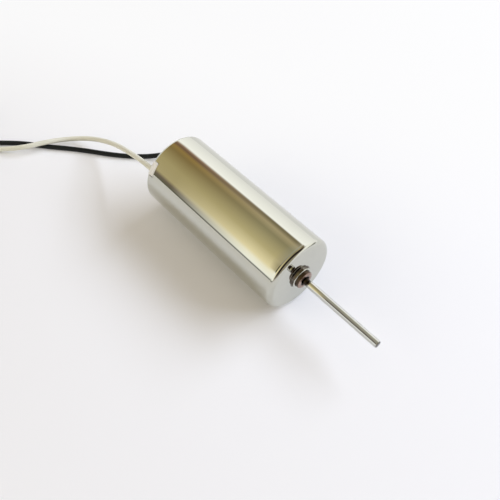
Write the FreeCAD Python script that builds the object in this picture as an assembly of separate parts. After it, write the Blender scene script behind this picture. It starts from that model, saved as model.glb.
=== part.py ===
import FreeCAD, Part
import math
import os

from FreeCAD import Vector

# Coreless direct-current motor, lying on its side. All sizes are in millimetres.
# The origin is on the shaft axis at the front face of the can. +X runs out along the shaft, +Z is up.

# Can: one deep-drawn nickel-plated steel cup, open at the rear
can_radius = 4.25
can_length = 20.0
can_wall = 0.35
shoulder_radius = 0.6
rim_roll = 0.35             # outside radius of the rim where it is rolled over the end cap
rim_lip = 0.3               # how far the rolled rim reaches in
neck_radius = 1.25          # drawn neck that holds the front bush
neck_height = 0.35
neck_chamfer = 0.1
notch_width = 1.8           # rim notches that key the end cap
notch_depth = 0.9
notch_side = 142.0          # degrees from +Y towards +Z, about the shaft axis; the other notch is opposite

# Shaft and bushes
shaft_radius = 0.4
shaft_front = 10.4
shaft_rear = -17.6
running_clearance = 0.02
glue_gap = 0.01             # radial gap of the fits that are pressed or glued within one body
bush_radius = 1.0
bush_nose = 0.75            # how far the front bush stands out of the front face
front_bush_rear = -2.4
rear_bush_front = -10.8
bush_flange_radius = 1.5
bush_flange = 0.35
slinger_middle = 1.125      # oil-slinger groove, a shallow waist in the shaft just outside the bush
slinger_depth = 0.05
slinger_arc = 0.78

# Magnet and the rotor's cup-shaped coil, which turns in the gap between the magnet and the can
magnet_radius = 2.8
magnet_rear = -12.6
coil_outer = 3.5
coil_inner = 3.05
coil_front = -1.5
coil_rear = -14.7
hub_front = -13.2
hub_disc_front = -13.9
hub_boss_radius = 0.9
hub_rear = -17.5
commutator_radius = 0.95
commutator_core = 0.74
commutator_rear = -17.3
riser_rear = -14.9
segment_count = 3
segment_span = 108.0        # degrees
riser_span = 44.0
riser_radius = 1.5
tap_radius = 0.1

# Moulded end cap
cap_front = -17.9
cap_back = -19.68           # face under the rolled rim
cap_pad_back = -19.85       # raised middle of the back
cap_radius = 3.88
cap_pad_radius = 3.5
dimple_radius = 0.8
dimple_depth = 0.45
skirt_front = -16.0
skirt_wall = 0.45
skirt_opening = 4.6         # flats between the two skirt halves, where the brush gear stands
key_radius = 4.2

# Brush gear
leaf_thickness = 0.08
leaf_offset = 1.0           # from the shaft axis to the leaf's working face
leaf_front = -15.5
finger_width = 0.4
finger_gap = 0.2
finger_count = 3
leaf_root = 2.9
finger_start = 1.6
finger_tip = -1.3
strip_thickness = 0.15
post_thickness = 0.7
post_inner = 1.9

# Leads
lead_radius = 0.3
lead_sides = 8
core_radius = 0.15
tip_length = 2.5
lead_length = 60.0          # insulated length of each lead
lead_exit_radius = 3.5
lead_exit_side = 8.0        # degrees from the middle of the notch
lead_start = -19.3          # where the insulation ends inside the cap
wire_coil_radius = 3.3
wire_coil_pitch = 0.65
floor = -can_radius

shaft_line = Vector(1, 0, 0)


def bar(radius, x_from, x_to):
    """Solid cylinder on the shaft axis."""
    return Part.makeCylinder(radius, x_to - x_from, Vector(x_from, 0, 0), shaft_line)


def tube(outer, inner, x_from, x_to):
    return bar(outer, x_from, x_to).cut(bar(inner, x_from, x_to))


def block(x_from, x_to, y_from, y_to, z_from, z_to):
    return Part.makeBox(x_to - x_from, y_to - y_from, z_to - z_from, Vector(x_from, y_from, z_from))


def round_corner(before, corner, after, radius):
    """Arc of this radius in a corner, and the points where it leaves the two sides.

    It is a weighted curve, because its revolved face takes fewer facets than a torus does.
    """
    half_angle = (before - corner).getAngle(after - corner) / 2
    cut = radius / math.tan(half_angle)
    start = corner + (before - corner).normalize() * cut
    end = corner + (after - corner).normalize() * cut
    arc = Part.BezierCurve()
    arc.setPoles([start, corner, end])
    arc.setWeight(2, math.sin(half_angle))
    return arc.toShape(), start, end


def turned(outline, sweep=360.0):
    """Outline of (x, radius) corners revolved about the shaft axis, starting from +Y.

    A corner's third number, if it has one, is the radius that it is rounded to.
    """
    corners = [Vector(corner[0], corner[1], 0) for corner in outline]
    edges = []
    ends = []
    for number, corner in enumerate(corners):
        start = corner
        end = corner
        if len(outline[number]) == 3:
            after = corners[(number + 1) % len(corners)]
            arc, start, end = round_corner(corners[number - 1], corner, after, outline[number][2])
            edges.append(arc)
        ends.append((start, end))
    for (_, leave), (arrive, _) in zip(ends, ends[1:] + ends[:1]):
        edges.append(Part.LineSegment(leave, arrive).toShape())
    face = Part.Face(Part.Wire(Part.__sortEdges__(edges)))
    return face.revolve(Vector(0, 0, 0), shaft_line, sweep)


def at_side(shape, degrees):
    """A copy turned about the shaft axis, from +Y towards +Z."""
    moved = shape.copy()
    moved.rotate(Vector(0, 0, 0), shaft_line, degrees)
    return moved


def make_can():
    bore_radius = can_radius - can_wall
    lip_radius = bore_radius - rim_lip
    hole_radius = bush_radius + glue_gap
    can = turned([(neck_height, hole_radius), (neck_height, neck_radius - neck_chamfer),
                  (neck_height - neck_chamfer, neck_radius), (0, neck_radius),
                  (0, can_radius, shoulder_radius), (-can_length, can_radius, rim_roll),
                  (-can_length, lip_radius), (-can_length + rim_lip, lip_radius),
                  (-can_length + rim_lip, bore_radius), (-can_wall, bore_radius),
                  (-can_wall, hole_radius)])
    notch = block(-can_length - 1, -can_length + notch_depth, bore_radius - 2 * rim_lip, can_radius + 1,
                  -notch_width / 2, notch_width / 2)
    for turn in (0, 180):
        can = can.cut(at_side(notch, notch_side + turn))
    return can


def make_front_bush():
    bore = shaft_radius + running_clearance
    mouth = bore + 0.15
    return turned([(front_bush_rear, bore), (front_bush_rear, bush_radius), (bush_nose - 0.15, bush_radius),
                   (bush_nose, bush_radius - 0.15), (bush_nose, mouth), (bush_nose - 0.15, bore)])


def make_rear_bush():
    bore = shaft_radius + running_clearance
    seat = magnet_rear - glue_gap
    flange_back = magnet_rear - bush_flange
    return turned([(rear_bush_front, bore), (rear_bush_front, bush_radius), (seat, bush_radius),
                   (seat, bush_flange_radius), (flange_back, bush_flange_radius), (flange_back, bore)])


def make_magnet():
    bore = bush_radius + glue_gap
    front = -can_wall - glue_gap
    chamfer = 0.2
    return turned([(front, bore), (front, magnet_radius - chamfer), (front - chamfer, magnet_radius),
                   (magnet_rear + chamfer, magnet_radius), (magnet_rear, magnet_radius - chamfer),
                   (magnet_rear, bore)])


def make_shaft():
    tip = 0.08
    shaft = turned([(shaft_rear, 0), (shaft_rear, shaft_radius), (shaft_front - tip, shaft_radius),
                    (shaft_front, shaft_radius - tip), (shaft_front, 0)])
    ring_radius = shaft_radius - slinger_depth + slinger_arc
    groove = Part.makeTorus(ring_radius, slinger_arc, Vector(slinger_middle, 0, 0), shaft_line)
    return shaft.cut(groove)


def make_coil():
    chamfer = 0.1
    return turned([(coil_front, coil_inner), (coil_front, coil_outer - chamfer),
                   (coil_front - chamfer, coil_outer), (coil_rear + chamfer, coil_outer),
                   (coil_rear, coil_outer - chamfer), (coil_rear, coil_inner)])


def make_coil_hub():
    bore = shaft_radius + glue_gap
    return turned([(hub_front, bore), (hub_front, hub_boss_radius), (hub_disc_front, hub_boss_radius),
                   (hub_disc_front, coil_inner - glue_gap), (coil_rear, coil_inner - glue_gap),
                   (coil_rear, commutator_core), (hub_rear, commutator_core), (hub_rear, bore)])


def make_segment():
    """One commutator segment with the riser that its winding tap is soldered to, centred on +Y."""
    inner = commutator_core + glue_gap
    barrel = turned([(commutator_rear, inner), (commutator_rear, commutator_radius),
                     (coil_rear, commutator_radius), (coil_rear, inner)], segment_span)
    riser = turned([(riser_rear, inner), (riser_rear, riser_radius), (coil_rear, riser_radius),
                    (coil_rear, inner)], riser_span)
    return at_side(barrel, -segment_span / 2).fuse(at_side(riser, -riser_span / 2)).removeSplitter()


def make_tap():
    """Winding tap along +Y, on the back of the hub, from under the coil's rear end in to the riser."""
    start = Vector(coil_rear - tap_radius, riser_radius, 0)
    return Part.makeCylinder(tap_radius, coil_outer - tap_radius - riser_radius, start, Vector(0, 1, 0))


def make_thrust_washer():
    return tube(1.1, shaft_radius + glue_gap, hub_front + 0.05, hub_front + 0.2)


def lead_hole(radius, x_from, x_to):
    """Cylinder on the line where a lead passes through the end cap, for the notch at +Y."""
    angle = math.radians(lead_exit_side)
    base = Vector(x_from, lead_exit_radius * math.cos(angle), lead_exit_radius * math.sin(angle))
    return Part.makeCylinder(radius, x_to - x_from, base, shaft_line)


def make_end_cap():
    cap = turned([(cap_front, 0), (cap_front, cap_radius), (cap_back, cap_radius), (cap_back, cap_pad_radius),
                  (cap_pad_back, cap_pad_radius), (cap_pad_back, dimple_radius),
                  (cap_pad_back + dimple_depth, dimple_radius), (cap_pad_back + dimple_depth, 0)])
    skirt = tube(cap_radius, cap_radius - skirt_wall, cap_front, skirt_front)
    skirt = skirt.cut(block(cap_front, skirt_front, -5, 5, -skirt_opening / 2, skirt_opening / 2))
    cap = cap.fuse(skirt)
    notch_floor = -can_length + notch_depth - 0.02
    key = block(-can_length + 0.1, notch_floor, cap_pad_radius - 0.1, can_radius, 0.03 - notch_width / 2,
                notch_width / 2 - 0.03).common(bar(key_radius, -can_length, -can_length + 2))
    post_face = leaf_offset + leaf_thickness + strip_thickness
    post = block(cap_front, leaf_front, post_inner, leaf_root, post_face, post_face + post_thickness)
    for turn in (0, 180):
        cap = cap.fuse(at_side(key, notch_side + turn)).fuse(at_side(post, notch_side + turn))
    for turn in (0, 180):
        side = notch_side + turn
        cap = cap.cut(at_side(lead_hole(lead_radius + glue_gap, -can_length, lead_start), side))
        cap = cap.cut(at_side(lead_hole(core_radius + glue_gap, lead_start, cap_front), side))
    return cap.removeSplitter()


def make_terminal(turn):
    """Bent strip: a foot on the inside of the cap, and a tab up the post that the brush is welded to."""
    tab_face = leaf_offset + leaf_thickness
    tab_back = tab_face + strip_thickness
    foot = block(cap_front, cap_front + strip_thickness, post_inner, 4, -0.3, tab_back)
    foot = foot.common(bar(cap_radius - 0.13, cap_front, cap_front + strip_thickness))
    foot = foot.cut(lead_hole(core_radius + glue_gap, cap_front, cap_front + strip_thickness))
    tab = block(cap_front, leaf_front, post_inner, leaf_root, tab_face, tab_back)
    return at_side(foot.fuse(tab).removeSplitter(), notch_side + turn)


def make_brush(turn):
    """Precious-metal leaf slit into fingers, with the tips turned away from the commutator."""
    outer = leaf_offset + leaf_thickness
    outline = [(leaf_root, leaf_offset), (leaf_root, outer), (-0.7, outer), (finger_tip, outer + 0.15),
               (finger_tip, leaf_offset + 0.15), (-0.7, leaf_offset)]
    corners = [Vector(leaf_front, y, z) for y, z in outline]
    width = finger_count * finger_width + (finger_count - 1) * finger_gap
    leaf = Part.Face(Part.makePolygon(corners + corners[:1])).extrude(Vector(-width, 0, 0))
    for number in range(finger_count - 1):
        slit_front = leaf_front - (number + 1) * finger_width - number * finger_gap
        leaf = leaf.cut(block(slit_front - finger_gap, slit_front, finger_tip - 1, finger_start, 0, 2))
    return at_side(leaf, notch_side + turn)


def make_solder(turn):
    """Solder that covers the end of the lead's core on the terminal's foot."""
    angle = math.radians(lead_exit_side)
    base = Vector(cap_front + strip_thickness, lead_exit_radius * math.cos(angle),
                  lead_exit_radius * math.sin(angle))
    return at_side(Part.makeCone(0.36, 0.2, 0.42, base, shaft_line), notch_side + turn)


def make_lead_core(turn):
    return at_side(lead_hole(core_radius, lead_start, cap_front + strip_thickness), notch_side + turn)


def cord_path(points):
    """Straight runs joined by tangent arcs, each arc as large as its two runs allow."""
    edges = []
    start = points[0]
    for before, corner, after in zip(points, points[1:], points[2:]):
        cut = 0.45 * min(corner.distanceToPoint(before), corner.distanceToPoint(after))
        back = (before - corner).normalize()
        ahead = (after - corner).normalize()
        half_angle = back.getAngle(ahead) / 2
        radius = cut * math.tan(half_angle)
        arc_from = corner + back * cut
        arc_middle = corner + (back + ahead).normalize() * (radius / math.sin(half_angle) - radius)
        arc_to = corner + ahead * cut
        edges.append(Part.LineSegment(start, arc_from).toShape())
        edges.append(Part.Arc(arc_from, arc_middle, arc_to).toShape())
        start = arc_to
        print("bend radius", round(radius, 2))
    edges.append(Part.LineSegment(start, points[-1]).toShape())
    return Part.Wire(edges)


def make_lead(route):
    """The stretch of a lead from the end cap to the place where it meets its coil, and its length.

    The section has flat sides with their corners on the round insulation, so that it takes few facets.
    """
    path = cord_path(route)
    corner = (route[1] - route[0]).cross(Vector(0, 0, 1)).normalize() * lead_radius
    section = []
    for number in range(lead_sides + 1):
        turn = FreeCAD.Rotation(route[1] - route[0], 360 / lead_sides * (number % lead_sides))
        section.append(route[0] + turn.multVec(corner))
    lead = path.makePipeShell([Part.makePolygon(section)], True, False)
    area = Part.Face(Part.makePolygon(section)).Area
    print("lead length", round(path.Length, 2), "volume ratio", round(lead.Volume / (area * path.Length), 4))
    return lead, path.Length


def flat_direction(degrees):
    return Vector(math.cos(math.radians(degrees)), math.sin(math.radians(degrees)), 0)


def make_wire_coil(entry, heading, turn_way, length):
    """Outer shape of the put-away end of a lead, wound from entry, and the bare tip that leaves it.

    turn_way is 1 for a coil that turns left and -1 for one that turns right.
    """
    centre = entry + flat_direction(heading + 90 * turn_way) * wire_coil_radius
    turns = length / (2 * math.pi * wire_coil_radius)
    base = Vector(centre.x, centre.y, floor)
    height = 2 * lead_radius + wire_coil_pitch * turns
    outer = Part.makeCylinder(wire_coil_radius + lead_radius, height, base)
    ring = outer.cut(Part.makeCylinder(wire_coil_radius - lead_radius, height, base))
    end_heading = heading + turn_way * 360 * turns
    end = centre + flat_direction(end_heading - 90 * turn_way) * wire_coil_radius
    end.z = floor + lead_radius + wire_coil_pitch * turns
    leave = math.sqrt((wire_coil_radius + lead_radius) ** 2 - wire_coil_radius ** 2)
    fall = (end.z - floor - core_radius) / (leave + tip_length)
    direction = flat_direction(end_heading) - Vector(0, 0, fall)
    start = end + direction * leave
    tip = Part.makeCylinder(core_radius, tip_length, start, direction)
    print("coil centre", centre, "turns", round(turns, 3), "end heading", round(end_heading, 1),
          "tip from", start)
    return ring, tip


def exit_point(turn):
    angle = math.radians(notch_side + lead_exit_side + turn)
    return Vector(lead_start, lead_exit_radius * math.cos(angle), lead_exit_radius * math.sin(angle))


# Routes of the two leads, as far as their coils
white_route = [exit_point(0), Vector(-21.2, -3.03, 1.75), Vector(-24.6, -2.55, 0.3),
               Vector(-29.4, -2.2, -1.6), Vector(-33.5, -3.0, -3.1), Vector(-36.0, -4.9, -3.75),
               Vector(-36.95, -7.4, -3.3), Vector(-38.0, -10.3, -3.2), Vector(-40.2, -12.2, -3.85),
               Vector(-42.2, -14.5, -3.95), Vector(-43.6, -16.7, -3.95)]
black_route = [exit_point(180), Vector(-21.4, 3.03, -1.75), Vector(-25.2, 2.45, -3.3),
               Vector(-27.1, 0.5, -3.95), Vector(-29.7, -2.1, -3.95), Vector(-33.9, -5.1, -3.95),
               Vector(-37.1, -7.9, -3.95), Vector(-39.4, -9.6, -3.95), Vector(-41.5, -11.8, -3.95),
               Vector(-43.7, -14.2, -3.95), Vector(-45.6, -16.6, -3.95)]


def make_parts():
    parts = {
        "can": make_can(),
        "front_bearing": make_front_bush(),
        "rear_bearing": make_rear_bush(),
        "magnet": make_magnet(),
        "end_cap": make_end_cap(),
        "shaft": make_shaft(),
        "thrust_washer": make_thrust_washer(),
        "coil": make_coil(),
        "coil_hub": make_coil_hub(),
    }
    for number in range(segment_count):
        side = 360 / segment_count * number
        parts["commutator_segment_%d" % (number + 1)] = at_side(make_segment(), side)
        parts["coil_tap_%d" % (number + 1)] = at_side(make_tap(), side)
    leads = {"white": (0, white_route, 1), "black": (180, black_route, -1)}
    for colour, (turn, route, turn_way) in leads.items():
        parts[colour + "_terminal"] = make_terminal(turn)
        parts[colour + "_brush"] = make_brush(turn)
        parts[colour + "_solder"] = make_solder(turn)
        parts[colour + "_lead_core"] = make_lead_core(turn)
        lead, used = make_lead(route)
        last_run = route[-1] - route[-2]
        heading = math.degrees(math.atan2(last_run.y, last_run.x))
        ring, tip = make_wire_coil(route[-1], heading, turn_way, lead_length - used)
        parts[colour + "_lead"] = lead
        parts[colour + "_lead_coil"] = ring
        parts[colour + "_lead_tip"] = tip
    return parts


os.makedirs("parts", exist_ok=True)
for name, shape in make_parts().items():
    solid = shape.Solids[0] if len(shape.Solids) == 1 else shape
    if not solid.isValid() or len(shape.Solids) != 1:
        print("CHECK", name, solid.isValid(), len(shape.Solids))
    print(name, "volume", round(solid.Volume, 3))
    solid.exportStep("parts/%s.step" % name)
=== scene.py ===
import bpy
import bmesh
import math
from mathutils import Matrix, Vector


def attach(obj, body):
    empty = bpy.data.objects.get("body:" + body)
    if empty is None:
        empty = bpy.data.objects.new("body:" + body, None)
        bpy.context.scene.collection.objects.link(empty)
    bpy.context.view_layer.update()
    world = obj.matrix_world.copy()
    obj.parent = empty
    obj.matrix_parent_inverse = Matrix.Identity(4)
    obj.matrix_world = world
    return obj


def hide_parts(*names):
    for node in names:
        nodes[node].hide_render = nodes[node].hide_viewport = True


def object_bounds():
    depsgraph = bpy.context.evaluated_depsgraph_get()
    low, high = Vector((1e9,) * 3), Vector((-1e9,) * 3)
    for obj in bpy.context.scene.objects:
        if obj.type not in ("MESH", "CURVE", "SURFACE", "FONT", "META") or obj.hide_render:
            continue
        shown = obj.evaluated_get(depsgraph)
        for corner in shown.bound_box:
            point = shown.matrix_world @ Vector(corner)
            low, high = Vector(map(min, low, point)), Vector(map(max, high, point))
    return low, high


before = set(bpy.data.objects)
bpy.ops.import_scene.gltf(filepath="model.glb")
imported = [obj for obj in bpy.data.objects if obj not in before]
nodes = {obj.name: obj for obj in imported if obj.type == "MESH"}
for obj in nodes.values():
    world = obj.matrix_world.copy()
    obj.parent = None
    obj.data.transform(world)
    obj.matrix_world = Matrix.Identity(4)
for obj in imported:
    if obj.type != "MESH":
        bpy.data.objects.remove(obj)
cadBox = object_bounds()
print("stage: frame loaded")

# Pieces are modelled in millimetres and scaled to metres when they are finished
mm = 0.001
weld = 0.0005       # points closer than this are one point


# Camera
view = {"place": (0.02375, -0.02813, 0.05416), "tilt": 36.27, "heading": 48.0, "lens": 46.8}
bpy.ops.object.select_all(action="DESELECT")
bpy.ops.object.camera_add(location=view["place"],
                          rotation=(math.radians(view["tilt"]), 0, math.radians(view["heading"])))
camera = bpy.context.object
camera.name = "camera"
camera.data.lens = view["lens"]
camera.data.sensor_width = 36
camera.data.clip_start = 0.001
bpy.context.scene.camera = camera
print("stage: camera")


# Helpers for modelling

def selectOnly(piece):
    bpy.ops.object.select_all(action="DESELECT")
    bpy.context.view_layer.objects.active = piece
    piece.select_set(True)


def startVertex(name, place):
    bpy.ops.object.select_all(action="DESELECT")
    bpy.ops.mesh.primitive_plane_add(size=1, location=(0, 0, 0))
    piece = bpy.context.object
    piece.name = name
    piece.data.name = name
    bpy.ops.object.mode_set(mode="EDIT")
    bpy.ops.mesh.select_mode(type="VERT")
    bpy.ops.mesh.select_all(action="SELECT")
    bpy.ops.mesh.merge(type="CENTER")
    bpy.ops.transform.translate(value=place)
    return piece


def pick(piece, part, test):
    bpy.ops.mesh.select_mode(type={"verts": "VERT", "edges": "EDGE", "faces": "FACE"}[part])
    bpy.ops.mesh.select_all(action="DESELECT")
    mesh = bmesh.from_edit_mesh(piece.data)
    for item in getattr(mesh, part):
        if test(item):
            item.select_set(True)
    bmesh.update_edit_mesh(piece.data)


def turnPiece(name, outline, steps, segments=6):
    # outline: (x, radius) or (x, radius, rounding) corners of the section, revolved about the shaft line
    first = outline[0]
    piece = startVertex(name, (first[0], first[1], 0))
    here = Vector((first[0], first[1], 0))
    closed = min(corner[1] for corner in outline) > 0
    for corner in outline[1:] + (outline[:1] if closed else []):
        there = Vector((corner[0], corner[1], 0))
        bpy.ops.mesh.extrude_vertices_move(TRANSFORM_OT_translate={"value": there - here})
        here = there
    bpy.ops.mesh.select_all(action="SELECT")
    bpy.ops.mesh.remove_doubles(threshold=weld)
    for corner in outline:
        if len(corner) == 3:
            at = Vector((corner[0], corner[1], 0))
            pick(piece, "verts", lambda vert: (vert.co - at).length < 2 * weld)
            bpy.ops.mesh.bevel(offset_type="OFFSET", offset=corner[2], segments=segments, affect="VERTICES")
    bpy.ops.mesh.select_all(action="SELECT")
    bpy.ops.mesh.spin(steps=steps, angle=2 * math.pi, center=(0, 0, 0), axis=(1, 0, 0), use_auto_merge=True)
    bpy.ops.mesh.select_all(action="SELECT")
    bpy.ops.mesh.remove_doubles(threshold=weld)
    bpy.ops.mesh.normals_make_consistent(inside=False)
    bpy.ops.object.mode_set(mode="OBJECT")
    return piece


def addBlock(name, low, high, turn=0.0):
    # block between two corners, turned about the shaft line from +Y towards +Z
    bpy.ops.object.select_all(action="DESELECT")
    middle = [(a + b) / 2 for a, b in zip(low, high)]
    bpy.ops.mesh.primitive_cube_add(size=1, location=middle, scale=[b - a for a, b in zip(low, high)])
    block = bpy.context.object
    block.name = name
    bpy.ops.object.transform_apply(location=True, rotation=True, scale=True)
    block.rotation_euler = (math.radians(turn), 0, 0)
    bpy.ops.object.transform_apply(location=False, rotation=True, scale=False)
    return block


def cutWith(piece, cutter, operation="DIFFERENCE"):
    change = piece.modifiers.new("cut", "BOOLEAN")
    change.operation = operation
    change.object = cutter
    change.solver = "EXACT"
    selectOnly(piece)
    bpy.ops.object.modifier_apply(modifier=change.name)
    bpy.data.objects.remove(cutter, do_unlink=True)


def finishPiece(piece, body, material, replaced=(), angle=30.0):
    selectOnly(piece)
    piece.scale = (mm, mm, mm)
    bpy.ops.object.transform_apply(location=True, rotation=True, scale=True)
    bpy.ops.object.shade_smooth_by_angle(angle=math.radians(angle))
    piece.data.materials.clear()
    piece.data.materials.append(material)
    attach(piece, body)
    if replaced:
        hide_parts(*replaced)
    return piece


# Finishes. Each one has a grain of its own size that moves its colour, its gloss and a small bump

def addMath(tree, operation, first, second):
    # one sum: each of the two values is a socket or a plain number
    node = tree.nodes.new("ShaderNodeMath")
    node.operation = operation
    for socket, value in zip(node.inputs, (first, second)):
        if isinstance(value, bpy.types.NodeSocket):
            tree.links.new(value, socket)
        elif value is not None:
            socket.default_value = value
    return node.outputs[0]


def grainGroup():
    group = bpy.data.node_groups.new("surfaceGrain", "ShaderNodeTree")
    for name, kind in (("Place", "NodeSocketVector"), ("Scale", "NodeSocketFloat"),
                       ("Lengthwise", "NodeSocketFloat"), ("Patches", "NodeSocketFloat")):
        group.interface.new_socket(name=name, in_out="INPUT", socket_type=kind)
    for name in ("Mask", "Height"):
        group.interface.new_socket(name=name, in_out="OUTPUT", socket_type="NodeSocketFloat")
    inside = group.nodes.new("NodeGroupInput")
    out = group.nodes.new("NodeGroupOutput")
    stretch = group.nodes.new("ShaderNodeCombineXYZ")     # grain drawn out along the shaft line
    stretch.inputs["Y"].default_value = 1
    stretch.inputs["Z"].default_value = 1
    group.links.new(inside.outputs["Lengthwise"], stretch.inputs["X"])
    spread = group.nodes.new("ShaderNodeVectorMath")
    spread.operation = "MULTIPLY"
    group.links.new(inside.outputs["Place"], spread.inputs[0])
    group.links.new(stretch.outputs[0], spread.inputs[1])
    fine = group.nodes.new("ShaderNodeTexNoise")
    fine.inputs["Detail"].default_value = 4
    group.links.new(spread.outputs[0], fine.inputs["Vector"])
    group.links.new(inside.outputs["Scale"], fine.inputs["Scale"])
    group.links.new(fine.outputs[0], out.inputs["Height"])
    broad = group.nodes.new("ShaderNodeTexNoise")
    broad.inputs["Detail"].default_value = 3
    group.links.new(inside.outputs["Place"], broad.inputs["Vector"])
    group.links.new(inside.outputs["Patches"], broad.inputs["Scale"])
    both = group.nodes.new("ShaderNodeMath")
    both.operation = "MULTIPLY_ADD"
    both.inputs[1].default_value = 0.45
    group.links.new(fine.outputs[0], both.inputs[0])
    group.links.new(addMath(group, "MULTIPLY", broad.outputs[0], 0.55), both.inputs[2])
    group.links.new(both.outputs[0], out.inputs["Mask"])
    return group


def markGroup():
    # dark ring round the shaft line, at a radius (Along 0) or at a place along the line (Along 1). Used for
    # real marks and joints, and for painted shade at the neck's foot, the bore's mouth and the shaft's root
    group = bpy.data.node_groups.new("ringMark", "ShaderNodeTree")
    for name, kind in (("Place", "NodeSocketVector"), ("Middle", "NodeSocketFloat"),
                       ("Width", "NodeSocketFloat"), ("Along", "NodeSocketFloat")):
        group.interface.new_socket(name=name, in_out="INPUT", socket_type=kind)
    group.interface.new_socket(name="Mask", in_out="OUTPUT", socket_type="NodeSocketFloat")
    inside = group.nodes.new("NodeGroupInput")
    out = group.nodes.new("NodeGroupOutput")
    split = group.nodes.new("ShaderNodeSeparateXYZ")
    group.links.new(inside.outputs["Place"], split.inputs[0])
    across = group.nodes.new("ShaderNodeCombineXYZ")
    group.links.new(split.outputs["Y"], across.inputs["Y"])
    group.links.new(split.outputs["Z"], across.inputs["Z"])
    radius = group.nodes.new("ShaderNodeVectorMath")
    radius.operation = "LENGTH"
    group.links.new(across.outputs[0], radius.inputs[0])
    where = group.nodes.new("ShaderNodeMix")
    group.links.new(inside.outputs["Along"], where.inputs["Factor"])
    group.links.new(radius.outputs["Value"], where.inputs["A"])
    group.links.new(split.outputs["X"], where.inputs["B"])
    off = addMath(group, "SUBTRACT", where.outputs["Result"], inside.outputs["Middle"])
    away = addMath(group, "ABSOLUTE", off, None)
    raggedEdge = group.nodes.new("ShaderNodeTexNoise")
    raggedEdge.inputs["Scale"].default_value = 1600
    raggedEdge.inputs["Detail"].default_value = 3
    group.links.new(inside.outputs["Place"], raggedEdge.inputs["Vector"])
    reach = addMath(group, "MULTIPLY", raggedEdge.outputs[0], inside.outputs["Width"])
    fade = group.nodes.new("ShaderNodeMapRange")
    fade.interpolation_type = "SMOOTHSTEP"
    fade.inputs["To Min"].default_value = 1
    fade.inputs["To Max"].default_value = 0
    group.links.new(away, fade.inputs["Value"])
    group.links.new(reach, fade.inputs["From Min"])
    group.links.new(inside.outputs["Width"], fade.inputs["From Max"])
    group.links.new(fade.outputs[0], out.inputs["Mask"])
    return group


grain = grainGroup()
ringMark = markGroup()


def newFinish(name, look):
    material = bpy.data.materials.new(name)
    material.use_nodes = True
    tree = material.node_tree
    shader = tree.nodes["Principled BSDF"]
    shader.inputs["Metallic"].default_value = look.get("metallic", 0.0)
    for socket, value in look.get("plain", {}).items():
        shader.inputs[socket].default_value = value
    place = tree.nodes.new("ShaderNodeTexCoord")
    grained = tree.nodes.new("ShaderNodeGroup")
    grained.node_tree = grain
    tree.links.new(place.outputs["Object"], grained.inputs["Place"])
    grained.inputs["Scale"].default_value = look["scale"]
    grained.inputs["Lengthwise"].default_value = look.get("lengthwise", 1.0)
    grained.inputs["Patches"].default_value = look.get("patches", 300.0)
    tint = tree.nodes.new("ShaderNodeValToRGB")
    tint.color_ramp.elements[0].position = 0.35
    tint.color_ramp.elements[1].position = 0.65
    tint.color_ramp.elements[0].color = (*look["colors"][0], 1)
    tint.color_ramp.elements[1].color = (*look["colors"][1], 1)
    tree.links.new(grained.outputs["Mask"], tint.inputs[0])
    shown = tint.outputs[0]
    # marks: rings of real marks and joints, and rings of painted shade
    for middle, width, along, color in look.get("marks", ()):
        ring = tree.nodes.new("ShaderNodeGroup")
        ring.node_tree = ringMark
        tree.links.new(place.outputs["Object"], ring.inputs["Place"])
        ring.inputs["Middle"].default_value = middle * mm
        ring.inputs["Width"].default_value = width * mm
        ring.inputs["Along"].default_value = along
        markAndShade = tree.nodes.new("ShaderNodeMix")
        markAndShade.data_type = "RGBA"
        markAndShade.inputs["B"].default_value = (*color, 1)
        tree.links.new(ring.outputs["Mask"], markAndShade.inputs["Factor"])
        tree.links.new(shown, markAndShade.inputs["A"])
        shown = markAndShade.outputs["Result"]
    tree.links.new(shown, shader.inputs["Base Color"])
    gloss = tree.nodes.new("ShaderNodeMapRange")
    gloss.inputs["From Min"].default_value = 0.35
    gloss.inputs["From Max"].default_value = 0.65
    gloss.inputs["To Min"].default_value = look["roughness"][0]
    gloss.inputs["To Max"].default_value = look["roughness"][1]
    tree.links.new(grained.outputs["Mask"], gloss.inputs["Value"])
    tree.links.new(gloss.outputs[0], shader.inputs["Roughness"])
    bump = tree.nodes.new("ShaderNodeBump")
    bump.inputs["Strength"].default_value = look.get("strength", 0.3)
    bump.inputs["Distance"].default_value = look.get("depth", 0.01) * mm
    tree.links.new(grained.outputs["Height"], bump.inputs["Height"])
    tree.links.new(bump.outputs[0], shader.inputs["Normal"])
    return material


# painted shade: the dark colour for the bush's bore mouth and the shaft's root where it enters the bush
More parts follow.
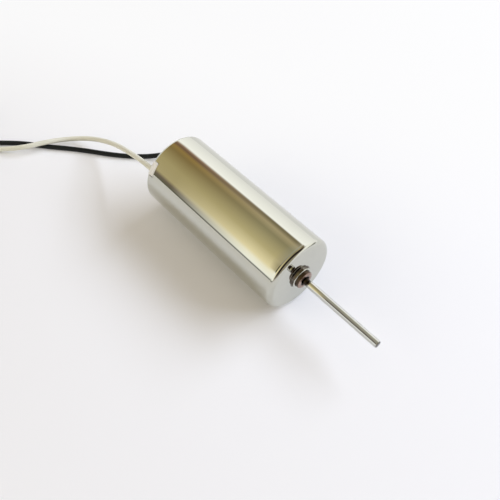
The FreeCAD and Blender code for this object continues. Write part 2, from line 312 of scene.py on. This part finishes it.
paintedHoleShade = (0.03, 0.022, 0.016)
looks = {
    # painted shade: the nickel's mark is a dark ring round the neck's foot, in the corner where the neck
    # meets the face
    "nickel_plate": {"colors": ((0.57, 0.57, 0.505), (0.59, 0.59, 0.525)), "metallic": 1.0,
                     "roughness": (0.012, 0.03), "scale": 1500, "lengthwise": 0.01, "patches": 260,
                     "strength": 0.25, "depth": 0.008, "marks": ((1.29, 0.07, 0, (0.12, 0.1, 0.085)),)},
    # painted shade: the bronze's first mark darkens the bore's mouth round the shaft; the second is the dark
    # joint at its rim
    "sintered_bronze": {"colors": ((0.22, 0.14, 0.11), (0.5, 0.37, 0.31)), "metallic": 1.0,
                        "roughness": (0.24, 0.38), "scale": 9000, "patches": 1500, "strength": 0.5,
                        "depth": 0.01, "marks": ((0.5, 0.13, 0, paintedHoleShade), (1.0, 0.035, 0, (0.1, 0.07, 0.05)))},
    "plated_magnet": {"colors": ((0.5, 0.5, 0.48), (0.58, 0.58, 0.56)), "metallic": 1.0,
                      "roughness": (0.2, 0.3), "scale": 4000, "patches": 500, "depth": 0.004},
    # painted shade: the shaft's first mark darkens its root where it enters the bush
    "shaft_steel": {"colors": ((0.55, 0.55, 0.52), (0.61, 0.61, 0.58)), "metallic": 1.0,
                    "roughness": (0.02, 0.06), "scale": 5000, "lengthwise": 0.4, "patches": 900,
                    "strength": 0.3, "depth": 0.0015,
                    "marks": ((0.95, 0.42, 1, paintedHoleShade), (10.45, 0.13, 1, (0.06, 0.055, 0.05)))},
    "washer_plastic": {"colors": ((0.1, 0.1, 0.1), (0.14, 0.14, 0.14)), "roughness": (0.35, 0.5),
                       "scale": 5000, "depth": 0.004},
    "enamelled_copper": {"colors": ((0.42, 0.12, 0.04), (0.55, 0.2, 0.08)), "metallic": 0.75,
                         "roughness": (0.22, 0.34), "scale": 5000, "depth": 0.004},
    "hub_resin": {"colors": ((0.17, 0.1, 0.055), (0.23, 0.14, 0.085)), "roughness": (0.3, 0.5), "scale": 4000,
                  "depth": 0.006},
    "commutator_alloy": {"colors": ((0.78, 0.6, 0.32), (0.85, 0.68, 0.4)), "metallic": 1.0,
                         "roughness": (0.18, 0.3), "scale": 6000, "depth": 0.003},
    "white_moulding": {"colors": ((0.9, 0.9, 0.88), (0.95, 0.95, 0.935)), "roughness": (0.3, 0.42),
                       "scale": 6000, "patches": 700, "depth": 0.006},
    "brush_alloy": {"colors": ((0.74, 0.6, 0.38), (0.8, 0.66, 0.44)), "metallic": 1.0,
                    "roughness": (0.18, 0.28), "scale": 6000, "lengthwise": 0.2, "depth": 0.002},
    "terminal_brass": {"colors": ((0.62, 0.48, 0.22), (0.72, 0.57, 0.28)), "metallic": 1.0,
                       "roughness": (0.24, 0.36), "scale": 6000, "depth": 0.004},
    "solder": {"colors": ((0.52, 0.52, 0.5), (0.66, 0.66, 0.63)), "metallic": 1.0, "roughness": (0.2, 0.4),
               "scale": 5000, "depth": 0.01},
    "tinned_copper": {"colors": ((0.58, 0.54, 0.48), (0.7, 0.67, 0.6)), "metallic": 1.0,
                      "roughness": (0.2, 0.32), "scale": 8000, "depth": 0.004},
    "white_insulation": {"colors": ((0.72, 0.71, 0.58), (0.78, 0.77, 0.65)), "roughness": (0.32, 0.45),
                         "scale": 7000, "patches": 500, "depth": 0.004},
    "black_insulation": {"colors": ((0.004, 0.005, 0.006), (0.01, 0.012, 0.013)), "roughness": (0.35, 0.5),
                         "scale": 7000, "patches": 500, "depth": 0.004, "plain": {"Specular IOR Level": 0.2}},
}
finishes = {name: newFinish(name, look) for name, look in looks.items()}

slotOf = {"front_bearing": "sintered_bronze", "rear_bearing": "sintered_bronze", "can": "nickel_plate",
          "end_cap": "white_moulding", "magnet": "plated_magnet", "shaft": "shaft_steel",
          "thrust_washer": "washer_plastic", "coil": "enamelled_copper", "coil_hub": "hub_resin"}
for number in (1, 2, 3):
    slotOf["commutator_segment_%d" % number] = "commutator_alloy"
    slotOf["coil_tap_%d" % number] = "enamelled_copper"
for colour in ("white", "black"):
    slotOf.update({colour + "_brush": "brush_alloy", colour + "_terminal": "terminal_brass",
                   colour + "_solder": "solder", colour + "_lead_core": "tinned_copper",
                   colour + "_lead_tip": "tinned_copper", colour + "_lead": colour + "_insulation",
                   colour + "_lead_coil": colour + "_insulation"})
for name, node in nodes.items():
    node.data.materials.clear()
    node.data.materials.append(finishes[slotOf[name]])


# Leads: each is one smooth cord along its route, then the wound end that is put away, then its bare tip
leads = {
    "white": {
        "route": [(-19.3, -3.03, 1.75), (-21.2, -3.03, 1.75), (-24.6, -2.55, 0.3), (-29.4, -2.2, -1.6),
                  (-33.5, -3.0, -3.1), (-36.0, -4.9, -3.75), (-36.95, -7.4, -3.3), (-38.0, -10.3, -3.2),
                  (-40.2, -12.2, -3.85), (-42.2, -14.5, -3.95), (-43.6, -16.7, -3.95)],
        "turnWay": 1, "turns": 1.322, "tip": (-39.772, -21.917, -3.460), "finish": "white_insulation"},
    "black": {
        "route": [(-19.3, 3.03, -1.75), (-21.4, 3.03, -1.75), (-25.2, 2.45, -3.3), (-27.1, 0.5, -3.95),
                  (-29.7, -2.1, -3.95), (-33.9, -5.1, -3.95), (-37.1, -7.9, -3.95), (-39.4, -9.6, -3.95),
                  (-41.5, -11.8, -3.95), (-43.7, -14.2, -3.95), (-45.6, -16.6, -3.95)],
        "turnWay": -1, "turns": 1.244, "tip": (-51.295, -16.368, -3.492), "finish": "black_insulation"},
}
cordSize = {"radius": 0.3, "length": 60.0, "coilRadius": 3.3, "coilRise": 0.65, "pointsPerTurn": 14}
strandSize = {"count": 6, "radius": 0.05, "sides": 10, "offset": 0.1, "bare": 2.5, "inside": 0.3,
              "twists": 1.4, "steps": 28}


def coilPoints(start, before, turnWay, turns):
    # control points of the turns, outside their circle by as much as the smooth line cuts inside its corners
    count = math.ceil(turns * cordSize["pointsPerTurn"])
    step = 2 * math.pi * turns / count * turnWay
    heading = math.atan2(start.y - before.y, start.x - before.x)
    side = heading + math.pi / 2 * turnWay
    centre = start + Vector((math.cos(side), math.sin(side), 0)) * cordSize["coilRadius"]
    points = []
    for number in range(count):
        angle = side + math.pi + (number + 0.5) * step
        reach = cordSize["coilRadius"] / math.cos(step / 2)
        rise = cordSize["coilRise"] * turns * (number + 0.5) / count
        points.append(Vector((centre.x + reach * math.cos(angle), centre.y + reach * math.sin(angle),
                              start.z + rise)))
    angle = side + math.pi + count * step
    end = Vector((centre.x + cordSize["coilRadius"] * math.cos(angle),
                  centre.y + cordSize["coilRadius"] * math.sin(angle),
                  start.z + cordSize["coilRise"] * turns))
    return points, end


def makeTip(name, start, direction):
    # bare twisted strands that leave the insulation
    bpy.ops.object.select_all(action="DESELECT")
    bpy.ops.mesh.primitive_circle_add(vertices=strandSize["sides"], radius=strandSize["radius"],
                                      location=(strandSize["offset"], 0, 0))
    strand = bpy.context.object
    bpy.ops.object.transform_apply(location=True, rotation=True, scale=True)
    bpy.ops.object.mode_set(mode="EDIT")
    bpy.ops.mesh.select_all(action="SELECT")
    length = strandSize["bare"] + strandSize["inside"]
    twist = 2 * math.pi * strandSize["twists"]
    for part in range(strandSize["steps"]):
        bpy.ops.mesh.extrude_region_move()
        bpy.ops.transform.rotate(value=-twist / strandSize["steps"], orient_axis="Z",
                                 center_override=(0, 0, 0))
        bpy.ops.transform.translate(value=(0, 0, length / strandSize["steps"]))
    bpy.ops.mesh.select_all(action="DESELECT")
    bpy.ops.mesh.select_mode(type="EDGE")
    bpy.ops.mesh.select_non_manifold()
    bpy.ops.mesh.fill()
    bpy.ops.mesh.select_all(action="SELECT")
    bpy.ops.mesh.normals_make_consistent(inside=False)
    bpy.ops.object.mode_set(mode="OBJECT")
    strands = [strand]
    for number in range(1, strandSize["count"]):
        copy = strand.copy()
        copy.data = strand.data.copy()
        copy.rotation_euler = (0, 0, 2 * math.pi * number / strandSize["count"])
        bpy.context.scene.collection.objects.link(copy)
        strands.append(copy)
    bpy.ops.object.select_all(action="DESELECT")
    for one in strands:
        one.select_set(True)
    bpy.context.view_layer.objects.active = strand
    bpy.ops.object.join()
    strand.name = name
    strand.data.name = name
    bpy.ops.object.transform_apply(location=True, rotation=True, scale=True)
    strand.rotation_euler = direction.to_track_quat("Z", "Y").to_euler()
    strand.location = start - direction * strandSize["inside"]
    bpy.ops.object.transform_apply(location=True, rotation=True, scale=True)
    return strand


for colour, lead in leads.items():
    route = [Vector(point) for point in lead["route"]]
    turned, end = coilPoints(route[-1], route[-2], lead["turnWay"], lead["turns"])
    tipStart = Vector(lead["tip"])
    points = route + turned + [end, tipStart]
    curve = bpy.data.curves.new(colour + "Lead", "CURVE")
    curve.dimensions = "3D"
    line = curve.splines.new("NURBS")
    line.points.add(len(points) - 1)
    for point, place in zip(line.points, points):
        point.co = (*(place * mm), 1)
    line.order_u = 3
    line.use_endpoint_u = True
    line.resolution_u = 10
    curve.bevel_depth = cordSize["radius"] * mm
    curve.bevel_resolution = 8
    curve.use_fill_caps = True
    cord = bpy.data.objects.new(colour + "Lead", curve)
    bpy.context.scene.collection.objects.link(cord)
    curve.materials.append(finishes[lead["finish"]])
    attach(cord, "stator")
    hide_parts(colour + "_lead", colour + "_lead_coil")
    tip = makeTip(colour + "LeadTip", tipStart, (tipStart - end).normalized())
    finishPiece(tip, "stator", finishes["tinned_copper"], [colour + "_lead_tip"], 60)
print("stage: leads")


# Can
can = {"radius": 4.25, "length": 20.0, "wall": 0.35, "shoulder": 0.6, "rim": 0.35, "lip": 0.3, "neck": 1.25,
       "neckHeight": 0.35, "hole": 1.01, "notchWidth": 1.8, "notchDepth": 0.9, "notchSide": 142.0}
bore = can["radius"] - can["wall"]
canPiece = turnPiece("canShell", [
    (can["neckHeight"], can["hole"], 0.05), (can["neckHeight"], can["neck"], 0.12), (0, can["neck"], 0.08),
    (0, can["radius"], can["shoulder"]), (-17.8, can["radius"]), (-18.6, can["radius"]),
    (-can["length"], can["radius"], can["rim"]),
    (-can["length"], bore - can["lip"], 0.12), (-can["length"] + can["lip"], bore - can["lip"]),
    (-can["length"] + can["lip"], bore), (-can["wall"], bore), (-can["wall"], can["hole"])], 256, 10)
for turn in (0, 180):
    cutter = addBlock("notchCutter", (-can["length"] - 1, bore - 0.6, -can["notchWidth"] / 2),
                      (-can["length"] + can["notchDepth"], can["radius"] + 1, can["notchWidth"] / 2),
                      can["notchSide"] + turn)
    cutWith(canPiece, cutter)
finishPiece(canPiece, "stator", finishes["nickel_plate"], ["can"])
print("stage: can")


# Turned parts on the shaft line
bush = {"radius": 1.0, "nose": 0.75, "rear": -2.4, "bore": 0.42, "mouth": 0.57}
bushPiece = turnPiece("frontBush", [
    (bush["rear"], bush["bore"]), (bush["rear"], bush["radius"]), (bush["nose"], bush["radius"], 0.15),
    (bush["nose"], bush["mouth"], 0.03), (bush["nose"] - 0.15, bush["bore"])], 96)
finishPiece(bushPiece, "stator", finishes["sintered_bronze"], ["front_bearing"])

shaft = {"radius": 0.4, "front": 10.4, "rear": -17.6, "chamfer": 0.08, "waist": 1.125, "waistHalf": 0.275,
         "waistDepth": 0.05}
middle = shaft["waist"]
shaftPiece = turnPiece("shaftPin", [
    (shaft["rear"], 0), (shaft["rear"], shaft["radius"], 0.05),
    (middle - shaft["waistHalf"], shaft["radius"], 0.04),
    (middle, shaft["radius"] - 1.6 * shaft["waistDepth"], 0.2),
    (middle + shaft["waistHalf"], shaft["radius"], 0.04),
    (shaft["front"] - shaft["chamfer"], shaft["radius"], 0.02),
    (shaft["front"], shaft["radius"] - shaft["chamfer"], 0.02), (shaft["front"], 0)], 96)
finishPiece(shaftPiece, "rotor", finishes["shaft_steel"], ["shaft"])
print("stage: shaft and bush")


# End cap: turned body with its skirt, then the keys and posts, and the holes that the leads go in by
cap = {"front": -17.9, "back": -19.68, "pad": -19.85, "radius": 3.88, "padRadius": 3.5, "dimple": 0.8,
       "dimpleDepth": 0.45, "skirtFront": -16.0, "skirtWall": 0.45, "skirtOpening": 4.6, "keyRadius": 4.22,
       "keyWidth": 1.72, "keyRound": 0.16, "keyFoot": 3.3, "keyBack": -19.93, "keyFront": -19.13,
       "side": 142.0, "post": ((-17.95, 1.9, 1.23), (-15.5, 2.9, 1.93)), "leadRadius": 3.5, "leadSide": 8.0,
       "leadHole": 0.31, "coreHole": 0.16, "holeBottom": -19.3}


def addRod(name, radius, xFrom, xTo, reach, side):
    bpy.ops.object.select_all(action="DESELECT")
    turn = math.radians(side)
    bpy.ops.mesh.primitive_cylinder_add(vertices=48, radius=radius, depth=xTo - xFrom,
                                        rotation=(0, math.pi / 2, 0),
                                        location=((xFrom + xTo) / 2, reach * math.cos(turn),
                                                  reach * math.sin(turn)))
    rod = bpy.context.object
    rod.name = name
    bpy.ops.object.transform_apply(location=True, rotation=True, scale=True)
    return rod


def softenEdges(piece, width, segments, limit=35.0):
    soften = piece.modifiers.new("soften", "BEVEL")
    soften.width = width
    soften.segments = segments
    soften.limit_method = "ANGLE"
    soften.angle_limit = math.radians(limit)
    soften.use_clamp_overlap = True
    selectOnly(piece)
    bpy.ops.object.modifier_apply(modifier=soften.name)


capPiece = turnPiece("endCap", [
    (cap["front"], 0), (cap["front"], cap["radius"] - cap["skirtWall"]),
    (cap["skirtFront"], cap["radius"] - cap["skirtWall"]),
    (cap["skirtFront"], cap["radius"]), (cap["back"], cap["radius"], 0.1),
    (cap["back"], cap["padRadius"], 0.06), (cap["pad"], cap["padRadius"], 0.06),
    (cap["pad"], cap["dimple"], 0.08), (cap["pad"] + cap["dimpleDepth"], cap["dimple"], 0.1),
    (cap["pad"] + cap["dimpleDepth"], 0)], 142, 5)
opening = cap["skirtOpening"] / 2
cutWith(capPiece, addBlock("skirtCutter", (cap["front"], -5, -opening), (cap["skirtFront"] + 1, 5, opening)))
for turn in (0, 180):
    post = addBlock("post", *cap["post"], turn=cap["side"] + turn)
    cutWith(capPiece, post, "UNION")
    key = addBlock("key", (cap["keyBack"], cap["keyFoot"], -cap["keyWidth"] / 2),
                   (cap["keyFront"], cap["keyRadius"], cap["keyWidth"] / 2), cap["side"] + turn)
    softenEdges(key, cap["keyRound"], 5)
    cutWith(capPiece, key, "UNION")
    side = cap["side"] + cap["leadSide"] + turn
    cutWith(capPiece, addRod("leadCutter", cap["leadHole"], -20.5, cap["holeBottom"],
                             cap["leadRadius"], side))
    cutWith(capPiece, addRod("coreCutter", cap["coreHole"], cap["holeBottom"] - 0.1, cap["front"] + 0.5,
                             cap["leadRadius"], side))
finishPiece(capPiece, "stator", finishes["white_moulding"], ["end_cap"])
print("stage: end cap", len(capPiece.data.vertices))


# Floor, a glowing tent that paints the reflections, and lamps
studio = {"floorSize": 2.4, "floorColor": (0.93, 0.93, 0.935), "floorRoughness": 0.9,
          "tentRadius": 0.3, "tentHalf": 0.6, "tentFoot": -0.0045,
          "ambient": (1.0, 0.876, 0.717), "ambientLevel": 0.33, "backdrop": (0.98, 0.98, 0.98),
          "fade": (0.09, 0.3), "brightWay": (-0.47, 0.883, 0), "paintedBrightening": (0.0, 0.036, 0.8)}
bpy.ops.object.select_all(action="DESELECT")
bpy.ops.mesh.primitive_plane_add(size=studio["floorSize"], location=(0, 0, cadBox[0][2]))
floor = bpy.context.object
floor.name = "floor"
floorPaper = bpy.data.materials.new("floorPaper")
floorPaper.use_nodes = True
floorPaper.node_tree.nodes["Principled BSDF"].inputs["Base Color"].default_value = (*studio["floorColor"], 1)
floorPaper.node_tree.nodes["Principled BSDF"].inputs["Roughness"].default_value = studio["floorRoughness"]
floor.data.materials.append(floorPaper)

bpy.ops.object.select_all(action="DESELECT")
bpy.ops.mesh.primitive_cylinder_add(vertices=128, radius=studio["tentRadius"], depth=2 * studio["tentHalf"],
                                    location=(0, 0, 0), rotation=(0, math.pi / 2, 0))
tent = bpy.context.object
tent.name = "lightTent"
bpy.ops.object.transform_apply(location=True, rotation=True, scale=True)
bpy.ops.object.mode_set(mode="EDIT")
bpy.ops.mesh.select_all(action="SELECT")
bpy.ops.mesh.bisect(plane_co=(0, 0, studio["tentFoot"]), plane_no=(0, 0, 1), clear_inner=True)
bpy.ops.object.mode_set(mode="OBJECT")
tent.visible_camera = False
tent.visible_diffuse = False
tent.visible_shadow = False
tent.visible_transmission = False
tent.visible_volume_scatter = False

# Painted reflections: the tent glows only for mirror rays, and its colours are set so that the can, its face
# and the shaft show chosen reflections: a bright window side, a dim warm top that lightens towards the far
# side, dark bands, and a bright strip low on the far side. A view holds its colours by the angle from the
# window's foot over the top, and a row sets it along the shaft line
window = [(0, (1.15, 1.15, 1.15)), (45, (1.5, 1.5, 1.5))]
rearView = window + [(52, (0.45, 0.3, 0.2)), (58, (0.25, 0.15, 0.1)), (68, (0.45, 0.3, 0.1)),
                     (80, (0.35, 0.25, 0.1)), (120, (0.6, 0.5, 0.25)), (158, (0.65, 0.55, 0.3)),
                     (168, (0.25, 0.2, 0.15)), (180, (0.15, 0.15, 0.1))]
frontView = window + [(49, (0.3, 0.25, 0.15)), (54, (0.3, 0.25, 0.15)), (64, (0.6, 0.5, 0.3)),
                      (80, (0.4, 0.35, 0.2)), (120, (0.75, 0.65, 0.35)), (150, (1.25, 1.1, 0.7)),
                      (161, (1.4, 1.35, 1.15)), (174, (1.4, 1.4, 1.3)), (177, (0.3, 0.3, 0.3))]
shaftView = window + [(50, (0.65, 0.6, 0.5)), (75, (0.5, 0.5, 0.4)), (125, (0.4, 0.35, 0.3)),
                      (134, (0.05, 0.04, 0.03)), (149, (0.03, 0.03, 0.02)), (154, (1.4, 1.4, 1.35)),
                      (171, (1.4, 1.4, 1.35)), (178, (0.45, 0.45, 0.4))]
darkView = [(0, (0.1, 0.1, 0.1)), (6, (0.15, 0.15, 0.1)), (11, (1.3, 1.3, 1.25)), (36, (1.4, 1.4, 1.35)),
            (47, (0.2, 0.15, 0.1)), (54, (0.03, 0.02, 0.02)), (155, (0.03, 0.02, 0.02)),
            (169, (0.3, 0.25, 0.2)), (180, (0.85, 0.8, 0.75))]
endView = [(0, (0.5, 0.5, 0.5)), (10, (1.2, 1.2, 1.2)), (40, (1.3, 1.3, 1.25)), (55, (0.4, 0.35, 0.25)),
           (150, (0.45, 0.4, 0.3)), (170, (0.5, 0.45, 0.4)), (180, (0.8, 0.8, 0.75))]
whiteView = [(0, (0.95, 0.95, 0.95)), (40, (1.3, 1.3, 1.3)), (180, (0.8, 0.8, 0.8))]
paintedReflectionRows = [(-0.4, whiteView), (-0.32, rearView), (-0.22, rearView), (-0.13, frontView), (-0.108, frontView),
            (-0.094, shaftView), (-0.03, shaftView), (-0.01, frontView), (0.09, frontView), (0.118, darkView),
            (0.3, darkView), (0.5, endView)]
tentGlow = 2.0      # the ramps hold colours up to 1, so they are kept divided by this


# painted reflections: the tent's emission colours, row by row along the shaft line
def paintedReflectionShader():
    material = bpy.data.materials.new("paintedReflectionTent")
    material.use_nodes = True
    tree = material.node_tree
    tree.nodes.clear()
    place = tree.nodes.new("ShaderNodeTexCoord")
    split = tree.nodes.new("ShaderNodeSeparateXYZ")
    tree.links.new(place.outputs["Object"], split.inputs[0])
    lift = addMath(tree, "SUBTRACT", split.outputs["Z"], studio["tentFoot"])
    angle = addMath(tree, "ARCTAN2", lift, split.outputs["Y"])
    share = addMath(tree, "DIVIDE", angle, math.pi)
    shown = None
    for number, (along, stops) in enumerate(paintedReflectionRows):
        ramp = tree.nodes.new("ShaderNodeValToRGB")
        elements = ramp.color_ramp.elements
        elements[0].position = stops[0][0] / 180
        elements[1].position = stops[-1][0] / 180
        for degrees, color in stops[1:-1]:
            elements.new(degrees / 180)
        for element, (degrees, color) in zip(elements, stops):
            element.color = (*[value / tentGlow for value in color], 1)
        tree.links.new(share, ramp.inputs[0])
        if shown is None:
            shown = ramp.outputs["Color"]
            continue
        reach = tree.nodes.new("ShaderNodeMapRange")
        reach.inputs["From Min"].default_value = paintedReflectionRows[number - 1][0]
        reach.inputs["From Max"].default_value = along
        tree.links.new(split.outputs["X"], reach.inputs["Value"])
        mix = tree.nodes.new("ShaderNodeMix")
        mix.data_type = "RGBA"
        tree.links.new(reach.outputs[0], mix.inputs["Factor"])
        tree.links.new(shown, mix.inputs["A"])
        tree.links.new(ramp.outputs["Color"], mix.inputs["B"])
        shown = mix.outputs["Result"]
    glow = tree.nodes.new("ShaderNodeEmission")
    glow.inputs["Strength"].default_value = tentGlow
    tree.links.new(shown, glow.inputs["Color"])
    out = tree.nodes.new("ShaderNodeOutputMaterial")
    tree.links.new(glow.outputs[0], out.inputs["Surface"])
    return material


tent.data.materials.append(paintedReflectionShader())

lamps = {
    "window": {"place": (0.11, 0.22, 0.19), "aim": (0, 0, 0), "size": (0.34, 0.12), "power": 1.14,
               "color": (0.77, 0.84, 1.0)},
    "ceiling": {"place": (-0.02, -0.02, 0.35), "aim": (0, 0, 0), "size": (0.35, 0.35), "power": 0.13,
                "color": (1.0, 0.96, 0.87)},
    "fill": {"place": (-0.1, -0.25, 0.12), "aim": (-0.01, 0, 0), "size": (0.3, 0.2), "power": 0.26,
             "color": (1.0, 0.95, 0.83)},
}
for name, lamp in lamps.items():
    bpy.ops.object.select_all(action="DESELECT")
    aim = (Vector(lamp["aim"]) - Vector(lamp["place"])).to_track_quat("-Z", "Y").to_euler()
    bpy.ops.object.light_add(type="AREA", location=lamp["place"], rotation=aim)
    light = bpy.context.object
    light.name = name
    light.data.shape = "RECTANGLE"
    light.data.size = lamp["size"][0]
    light.data.size_y = lamp["size"][1]
    light.data.energy = lamp["power"]
    light.data.color = lamp["color"]
    light.visible_glossy = False


def seenBackdrop(tree):
    # 1 where the camera, a mirror or glass sees the surface
    rays = tree.nodes.new("ShaderNodeLightPath")
    shown = rays.outputs["Is Camera Ray"]
    for kind in ("Is Glossy Ray", "Is Transmission Ray"):
        shown = addMath(tree, "MAXIMUM", shown, rays.outputs[kind])
    return shown


# Room light: warm and dim for matt surfaces, plain white where the camera or a mirror sees past the floor
world = bpy.data.worlds.new("roomLight")
bpy.context.scene.world = world
world.use_nodes = True
air = world.node_tree
room = air.nodes["Background"]
room.inputs["Color"].default_value = (*studio["ambient"], 1)
room.inputs["Strength"].default_value = studio["ambientLevel"]
white = air.nodes.new("ShaderNodeBackground")
white.inputs["Color"].default_value = (*studio["backdrop"], 1)
choose = air.nodes.new("ShaderNodeMixShader")
air.links.new(seenBackdrop(air), choose.inputs["Fac"])
air.links.new(room.outputs[0], choose.inputs[1])
air.links.new(white.outputs[0], choose.inputs[2])
air.links.new(choose.outputs[0], air.nodes["World Output"].inputs["Surface"])

# The floor turns into the backdrop far from the motor, and sooner on the bright side: there the floor is
# painted brighter towards the window, painted light that also pales the shadows on that side
paper = floorPaper.node_tree
spot = paper.nodes.new("ShaderNodeTexCoord")
distance = paper.nodes.new("ShaderNodeVectorMath")
distance.operation = "LENGTH"
paper.links.new(spot.outputs["Object"], distance.inputs[0])
fade = paper.nodes.new("ShaderNodeMapRange")
fade.interpolation_type = "SMOOTHSTEP"
fade.inputs["From Min"].default_value = studio["fade"][0]
fade.inputs["From Max"].default_value = studio["fade"][1]
paper.links.new(distance.outputs["Value"], fade.inputs["Value"])
across = paper.nodes.new("ShaderNodeVectorMath")
across.operation = "DOT_PRODUCT"
across.inputs[1].default_value = studio["brightWay"]
paper.links.new(spot.outputs["Object"], across.inputs[0])
# painted light: a ramp along brightWay that whitens the floor seen by the camera and in mirrors on the window
# side
paintedBrightening = paper.nodes.new("ShaderNodeMapRange")
paintedBrightening.interpolation_type = "SMOOTHSTEP"
for socket, value in zip(("From Min", "From Max", "To Max"), studio["paintedBrightening"]):
    paintedBrightening.inputs[socket].default_value = value
paper.links.new(across.outputs["Value"], paintedBrightening.inputs["Value"])
most = addMath(paper, "MAXIMUM", fade.outputs[0], paintedBrightening.outputs[0])
share = addMath(paper, "MULTIPLY", most, seenBackdrop(paper))
far = paper.nodes.new("ShaderNodeEmission")
far.inputs["Color"].default_value = (*studio["backdrop"], 1)
blend = paper.nodes.new("ShaderNodeMixShader")
paper.links.new(share, blend.inputs["Fac"])
paper.links.new(paper.nodes["Principled BSDF"].outputs[0], blend.inputs[1])
paper.links.new(far.outputs[0], blend.inputs[2])
paper.links.new(blend.outputs[0], paper.nodes["Material Output"].inputs["Surface"])
bpy.context.scene.view_settings.view_transform = "Standard"
print("stage: floor and light")
